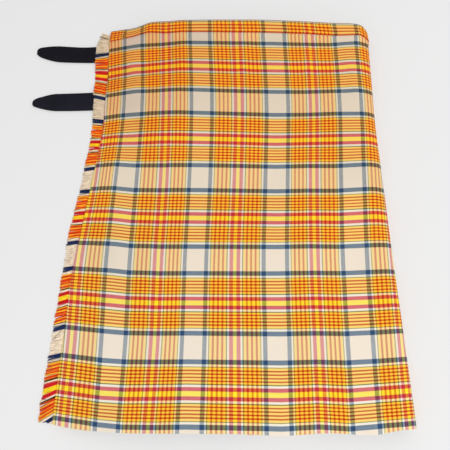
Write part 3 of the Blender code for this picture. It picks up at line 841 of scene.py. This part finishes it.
# The band's height across the garment, from its bottom edge to its top
BAND_HEIGHTS = in_mm((
    (-180, 18.7), (-157, 16.8), (-130, 16), (-112, 18.5), (-55, 20.2), (116, 21.2), (195, 19.5),
    (225, 15.5),
))
BAND_STEPS = 12
BAND_BOTTOM_SETT, BAND_TOP_SETT = 0.3333, 0.1943  # where the weft's sett starts and ends up the band
BAND_LEFT_SETT = 0.028  # how much further it starts at the band's left end, up to here and over this width
BAND_LEFT_END, BAND_LEFT_OVER = -160 * MM, 6 * MM
EDGE_YARN_RADIUS, EDGE_YARN_OUT, EDGE_YARN_UP = 0.45 * MM, 0.55 * PITCH, 0.35 * MM
BAND_ROWS = np.linspace(-26 * MM, 0, 14)  # the over apron's rows under the band, from the waist
BAND_FOLD = ((-0.3 * PITCH, 0.7 * PITCH), (0.0, 0.0), (0.0, -0.65 * PITCH))  # down from the waist, and out


def band_base(row, first, last):
    """Part of the over apron's profile at a row from the waist, and its normals."""
    line = apron_profile(waist_y(0) + row)[first:last]
    step_x, step_z = np.gradient(line, axis=0).T
    return line, unit(joined(-step_z, step_x))


def band_sett(share):
    """The weft's sett at a share of the way up the band."""
    return BAND_BOTTOM_SETT + (BAND_TOP_SETT - BAND_BOTTOM_SETT) * share


def band_front():
    """A strip on the over apron's top, turned down over its top edge."""
    last = LAST_TOP + HALF_ROLL
    bases = np.array([band_base(row, FIRST_TOP, last) for row in BAND_ROWS])
    height = curve(BAND_HEIGHTS, bases[0, 0, :, 0])
    rows = [(-height + (height - PITCH) * share, PITCH) for share in np.linspace(0, 1, BAND_STEPS)]
    rows += [(np.full_like(height, down), off) for down, off in BAND_FOLD]
    grid = []
    for down, off in rows:
        line, side = np.sum(between(BAND_ROWS, down)[:, None, :, None] * bases, axis=0)
        x, z = (line + side * off).T
        grid.append(joined(x, waist_y(x) - WALL / 2 + down, z))
    grid = np.array(grid)
    length = measured(np.linalg.norm(np.diff(grid, axis=0), axis=2))
    left_end = 1 - ease((grid[:, :, 0] - BAND_LEFT_END) / BAND_LEFT_OVER)
    up = band_sett(length / height) + BAND_LEFT_SETT * left_end
    return shell("waistband_front_cloth", grid, joined(apron_uv[-1, FIRST_TOP:last, 0], up), TARTAN)


def band_back():
    """The rest of the strip, round the lower right side and along the back's top, on the table."""
    first, last = LAST_TOP + HALF_ROLL - 1, LAST_TOP + ROLL_COLUMNS - 1
    grid = []
    downs = np.linspace(-BAND_HEIGHT, -HEM_INSET, 8)
    for down in downs:
        row = waist_y(0) + down
        line, side = band_base(down, first, last)
        line = line + side * PITCH
        line[:, 1] = np.maximum(line[:, 1], FLOOR)
        line[0, 1] -= SEAM
        along = np.linspace(line[-1, 0], Row(row).left_fold + BAND_END, 61)[1:]
        grid.append(placed(np.concatenate([line, joined(along, FLOOR)]), row))
    grid = np.array(grid)
    arc = measured(np.linalg.norm(np.diff(grid, axis=1), axis=2), axis=1)
    up = band_sett(downs / BAND_HEIGHT + 1)[:, None]
    uv = joined(apron_uv[-1, first, 0] + arc / WARP_PERIOD, up)
    return shell("waistband_back_cloth", grid, uv, TARTAN)


def fold_shade_yarn():
    """Painted shade: a dark yarn along the top fold of the waistband, standing in for the fold's shade."""
    line, side = band_base(0.0, FIRST_TOP, LAST_TOP + ROLL_COLUMNS // 3)
    x, z = (line + side * EDGE_YARN_OUT)[::2].T
    centres = joined(x, waist_y(x) + EDGE_YARN_UP, z)
    return one_tube("waistband_fold_shade_yarn", centres, np.full(len(x), EDGE_YARN_RADIUS), FOLD_SHADE_WOOL)


waistband_front = band_front()
waistband_back = band_back()

# ---------------- fringe

FRINGE_LOW = hem_y(OUTLINE[0, APRON_EDGE]) + FRINGE_FROM_HEM
FRINGE_HIGH = waist_y(OUTLINE[-1, APRON_EDGE]) - FRINGE_FROM_WAIST
YARN_RADIUS = 0.31 * MM
YARN_SPACING = 0.5 * MM
YARN_POINTS = 9
YARN_SIDES = 4
AROUND = np.arange(YARN_SIDES) / YARN_SIDES
YARN_LAYERS = np.array((0.42 * MM, 0.95 * MM))
LOCK_WIDTH = (2.2 * MM, 6.5 * MM)  # the fringe parts into locks between these widths
EDGE_SHARE = 0.15  # the share of a yarn that lies in the heading, under the apron
HEADING_INSIDE, HEADING_OUTSIDE = 8 * MM, 0.5 * MM
HEADING_THICK = 0.8 * MM
# How far the yarns of a lock, and each yarn on its own, stray at random: at their tips and on the way
TIP_SHARED, TIP_OWN = 0.45 * MM, 0.40 * MM
BEND_SHARED, BEND_OWN = 0.3 * MM, 0.22 * MM
WAVE_SHARED, WAVE_OWN = 0.35 * MM, 0.12 * MM
GATHER = (0.04, 0.22)  # how much a lock's tips draw together
ROW_STRAY, SETT_STRAY = 0.08 * MM, 0.0034  # in place and, in setts, in colour
# How high a lock bulges, how much its yarns' heights vary, and how far their tips stray up and sag
BULGE, LAYER_STRAY, TIP_UP, TIP_SAG = 0.5 * MM, 0.2 * MM, 0.25 * MM, 0.3 * MM
LOOSE_POINTS = 14
rng = np.random.default_rng(7)


def tubes(name, centres, radii, uv, bake, material):
    """Closed tubes along rows of centres lying near the table; uv and bake hold a pair a centre and side."""
    a = 2 * math.pi * AROUND + 0.5
    along = unit(np.gradient(centres, axis=1))
    across = unit(np.cross(along, (0.0, 0.0, 1.0)))
    over = np.cross(across, along)
    turn = np.cos(a)[:, None] * across[:, :, None] + np.sin(a)[:, None] * over[:, :, None]
    vertices = centres[:, :, None] + radii[:, :, None, None] * turn
    uvs = {"Cloth": np.broadcast_to(uv, vertices.shape[:3] + (2,)), "OFBake": bake}
    return new_mesh_object(name, vertices, ring_faces(*vertices.shape[:3]), uvs, material)


def one_tube(name, line, radii, material):
    """A single yarn through points; both its maps lie along it and round it."""
    at = np.linspace(0, 1, len(line))[:, None]
    bake = joined(at, AROUND)
    return tubes(name, line[None], radii[None], bake, bake, material)


def fringe_yarns():
    """The apron's weft, loose beyond its left edge, in locks that bend together."""
    rows = np.arange(FRINGE_LOW, FRINGE_HIGH, YARN_SPACING)
    layers = len(YARN_LAYERS)
    y = np.tile(rows, layers) + rng.normal(0, ROW_STRAY, len(rows) * layers)
    layer_of = np.repeat(np.arange(layers), len(rows))
    cuts = [FRINGE_LOW]
    while cuts[-1] < FRINGE_HIGH:
        cuts.append(cuts[-1] + rng.uniform(*LOCK_WIDTH))
    lock = np.clip(np.searchsorted(cuts, y, side="right") - 1, 0, len(cuts) - 2)
    locks, yarns = len(cuts), len(y)
    middle = (np.array(cuts)[lock] + np.array(cuts)[lock + 1]) / 2
    t = np.linspace(0, 1, YARN_POINTS)[None, :]
    free = np.clip((t - EDGE_SHARE) / (1 - EDGE_SHARE), 0, 1)

    def own(spread):
        return rng.normal(0, spread, yarns)[:, None]

    def shared(spread):
        return rng.normal(0, spread, locks)[lock][:, None]

    edge = apron_edge(y)
    ends_at = y + np.interp(y, LEANS[:, 0], LEANS[:, 2])
    tip = outline(FRINGE_TIP, ends_at) - curve(TIP_REACHES, ends_at)
    tip += (own(TIP_OWN) + shared(TIP_SHARED))[:, 0]
    # the share of each yarn that is left inside the cut
    kept = (y - CUT_HEIGHT - CUT_SLOPE * edge) / np.maximum(y - ends_at + CUT_SLOPE * (tip - edge), 0.1 * MM)
    kept = np.clip(kept, 0.1, 1)
    tip = edge + (tip - edge) * kept
    root = edge + BACKING_INSIDE * 0.6
    x = root[:, None] + (tip - root)[:, None] * t
    at_edge = np.interp(y, LEANS[:, 0], LEANS[:, 1])[:, None]
    at_tip = ((ends_at - y) * kept)[:, None]
    gather = rng.uniform(*GATHER, locks)[lock][:, None]
    wave = shared(WAVE_SHARED) * np.sin(free * 3.0 + shared(1.5))
    wave += own(WAVE_OWN) * np.sin(free * 5 + own(2.0))
    bend = at_tip - at_edge + shared(BEND_SHARED) + own(BEND_OWN) + wave
    yy = y[:, None] + at_edge * ease(t / 0.25) + bend * free + (middle - y)[:, None] * gather * free ** 2
    crown = (1 - np.abs(y - middle) / (0.5 * LOCK_WIDTH[1]))[:, None]
    lies_at = ABOVE_TABLE + YARN_LAYERS[layer_of] + strap_rise(y) + rng.uniform(0, LAYER_STRAY, yarns)
    z = lies_at[:, None] + BULGE * crown * np.sin(math.pi * free) + np.abs(own(TIP_UP)) * free
    z = np.maximum(z - TIP_SAG * free ** 2, YARN_RADIUS + 0.1 * MM)
    sett = weft_sett(y, drift(edge, y)) + rng.normal(0, SETT_STRAY, yarns)
    radius = YARN_RADIUS * (1 - 0.25 * t ** 4) * np.ones((yarns, 1))
    uv = joined(t[:, :, None], sett[:, None, None])
    number = np.tile(np.arange(len(rows)), layers)[:, None, None]
    # each layer takes half of the bake's map
    along = 0.01 + 0.48 * t[:, :, None] + 0.5 * layer_of[:, None, None]
    bake = joined(along, (number + AROUND) / len(rows))
    return tubes("fringe_yarns", joined(x, yy, z), radius, uv, bake, FRINGE)


def heading():
    """The narrow woven strip under the apron's edge that the fringe comes out of."""
    y, across = np.meshgrid(np.linspace(FRINGE_LOW, FRINGE_HIGH - 2 * MM, 120),
                            np.linspace(-HEADING_OUTSIDE, HEADING_INSIDE, 6), indexing="ij")
    x = apron_edge(y) + across
    z = ABOVE_TABLE + HEADING_THICK / 2 + 0.2 * MM + strap_rise(y)
    uv = joined(x / WARP_PERIOD, weft_sett(y, drift(x[:, :1], y[:, :1])))
    return shell("fringe_heading", joined(x, y, z), uv, TARTAN, HEADING_THICK)


def lone_yarn(spec):
    """A yarn through its own points: a stray one, or the dark one laid as painted shadow."""
    at = np.linspace(0, 1, LOOSE_POINTS)
    share = np.linspace(0, 1, len(spec.points))
    x, y, z = (through(share, column, at) for column in in_mm(spec.points).T)
    centres = joined(x, y, z + spec.lies_on * MM + strap_rise(y))
    radii = spec.radius * MM * np.minimum(1, 0.5 + 4 * np.minimum(at, 1 - at))
    return one_tube(spec.name, centres, radii, LOOSE[spec.yarn])


band_shade_yarn = fold_shade_yarn()
fringe = fringe_yarns()
fringe_heading = heading()
loose_ends_and_shadow = [lone_yarn(spec) for spec in LOOSE_ENDS_AND_SHADOW]

# ---------------- straps

EDGE_ROUND = 0.55 * MM
GROOVE_IN, GROOVE_HALF, GROOVE_DEEP = 2.1 * MM, 0.5 * MM, 0.22 * MM  # the line pressed along each edge
CROWN = 0.35 * MM  # how much a strap's middle rises
QUARTERS = (0.25, 0.5, 0.75)
NOSE = in_mm((0, 0.3, 0.7, 1.2, 2, 3, 4.5))  # closer rings at a strap's tip, as far as NOSE_END
NOSE_END = 6 * MM
STRAP_RINGS = 80
HOLE_SIDES = 20


def strap_section(above, below):
    """A ring of (y, height) round a strap's section: its edges rounded, a line pressed in along each."""
    half = (above - below) / 2
    ring = []
    for a in np.radians((-90, -50, -10, 10, 50, 90)):
        flat = STRAP_THICK - 2 * EDGE_ROUND if a > 0 else 0
        ring.append((EDGE_ROUND * (1 - math.cos(a)), EDGE_ROUND * (1 + math.sin(a)) + flat))
    for inward, deep in ((-1, 0), (0, 1), (1, 0)):
        ring.append((GROOVE_IN + inward * GROOVE_HALF, STRAP_THICK - deep * GROOVE_DEEP))
    fit = min(1.0, 0.8 * half / (GROOVE_IN + GROOVE_HALF))
    upper = [(above - inward * fit, height) for inward, height in ring]
    lower = [(below + inward * fit, height) for inward, height in reversed(ring)]
    near, far = upper[-1][0], lower[0][0]
    crown = [(near + (far - near) * t, STRAP_THICK + CROWN * fit * 4 * t * (1 - t)) for t in QUARTERS]
    under = [(below + (above - below) * t, 0.0) for t in QUARTERS]
    return upper + crown + lower + under


def strap_edges(spec, along):
    """Y of a strap's upper and lower edges at a distance from its tip."""
    return [float(curve(spec.outline, along, column)) + spec.y for column in (1, 2)]


def strap(spec):
    """A leather strap with rounded edges and holes, on the table and up on to the under apron."""
    edge = float(outline(APRON_EDGE, spec.y))
    fold = edge + LEFT_FOLD_INSET
    climb = ((edge + BACKING_INSIDE, fold - PITCH, fold + LEFT_LEAD), (0, 3 * PITCH, 5 * PITCH))
    hidden_end = edge + STRAP_HIDDEN - spec.tip_x
    rings = []
    for along in [*NOSE, *np.linspace(NOSE_END, hidden_end, STRAP_RINGS)]:
        x = spec.tip_x + along
        z = np.interp(x, *climb)
        rings.append([(x, y, z + height) for y, height in strap_section(*strap_edges(spec, along))])
    faces = ring_faces(1, len(rings), len(rings[0]))
    leather = new_mesh_object(f"{spec.name}_leather", np.array(rings), faces, {}, LEATHER[spec.name])
    for along in spec.holes:
        pierce(leather, spec.tip_x + along, sum(strap_edges(spec, along)) / 2)
    return leather


def pierce(leather, x, y):
    """Cut one upright hole through a strap."""
    turn = -2 * math.pi * np.arange(HOLE_SIDES) / HOLE_SIDES
    rings = []
    for z in (-2 * MM, 2 * STRAP_THICK):
        rings.append([(x + HOLE_RADIUS * math.cos(a), y + HOLE_RADIUS * math.sin(a), z) for a in turn])
    faces = ring_faces(1, len(rings), HOLE_SIDES)
    punch = new_mesh_object("punch", np.array(rings), faces, {}, leather.data.materials[0])
    cut = leather.modifiers.new("hole", "BOOLEAN")
    cut.object = punch
    cut.solver = "EXACT"
    depsgraph = bpy.context.evaluated_depsgraph_get()
    pierced = bpy.data.meshes.new_from_object(leather.evaluated_get(depsgraph))
    leather.modifiers.clear()
    leather.data = pierced
    bpy.data.objects.remove(punch)


straps = [strap(spec) for spec in STRAPS]

# ---------------- pieces attached, and the CAD parts they replace hidden

# Each piece, its material's slot and the CAD's node that it replaces, if any
PIECES = [(piece, "tartan", piece.name.removesuffix("_cloth"))
          for piece in (over_apron, pleated_back, under_apron, waistband_front, waistband_back)]
PIECES += [(fringe, "fringe", "fringe_strip"), (fringe_heading, "tartan", None)]
PIECES += [(piece, "fringe", None) for piece in [*loose_ends_and_shadow, band_shade_yarn]]
PIECES += [(piece, "strap_leather", spec.name) for piece, spec in zip(straps, STRAPS)]
for piece, slot, node in PIECES:
    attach(piece, "root")
    if node:
        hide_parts(node)

# ---------------- studio

FLOOR_HALF, FLOOR_Z = 6.0, -0.4 * MM
FLOOR_COLOUR = (0.805, 0.805, 0.805, 1.0)
WORLD_STRENGTH = 0.50
LIGHT_PLACE, LIGHT_SIZE, LIGHT_POWER = (1.5, -1.6, 4.8), 3.0, 180
CAMERA_PLACE = (0.0, -0.2055, 0.791)
AIM_Z = 24 * MM  # the camera looks at the garment's middle, at this height
LENS, SENSOR = 45.12, 36.0

SIGNS = ((-1, -1), (1, -1), (1, 1), (-1, 1))
corners = np.array([(FLOOR_HALF * x, FLOOR_HALF * y, FLOOR_Z) for x, y in SIGNS])
paint = Nodes("pale_floor")
paint.put(paint.shader, {"Base Color": FLOOR_COLOUR, "Roughness": 0.9, "Specular IOR Level": 0.0})
floor = new_mesh_object("floor", corners, [(0, 1, 2, 3)], {}, paint.material)

world = bpy.data.worlds.new("studio")
bpy.context.scene.world = world
world.use_nodes = True
background = world.node_tree.nodes["Background"]
background.inputs["Color"].default_value = (1, 1, 1, 1)
background.inputs["Strength"].default_value = WORLD_STRENGTH

light_data = bpy.data.lights.new("key", "AREA")
light_data.shape = "DISK"
light_data.size = LIGHT_SIZE
light_data.energy = LIGHT_POWER
light = linked(bpy.data.objects.new("key", light_data))
light.location = LIGHT_PLACE
light.rotation_euler = (-Vector(LIGHT_PLACE)).to_track_quat("-Z", "Y").to_euler()

camera_data = bpy.data.cameras.new("camera")
camera_data.sensor_width = SENSOR
camera_data.lens = LENS
camera = linked(bpy.data.objects.new("camera", camera_data))
camera.location = CAMERA_PLACE
camera.rotation_euler = (math.atan2(-CAMERA_PLACE[1], CAMERA_PLACE[2] - AIM_Z), 0.0, 0.0)
bpy.context.scene.camera = camera
bpy.context.scene.view_settings.view_transform = "Standard"
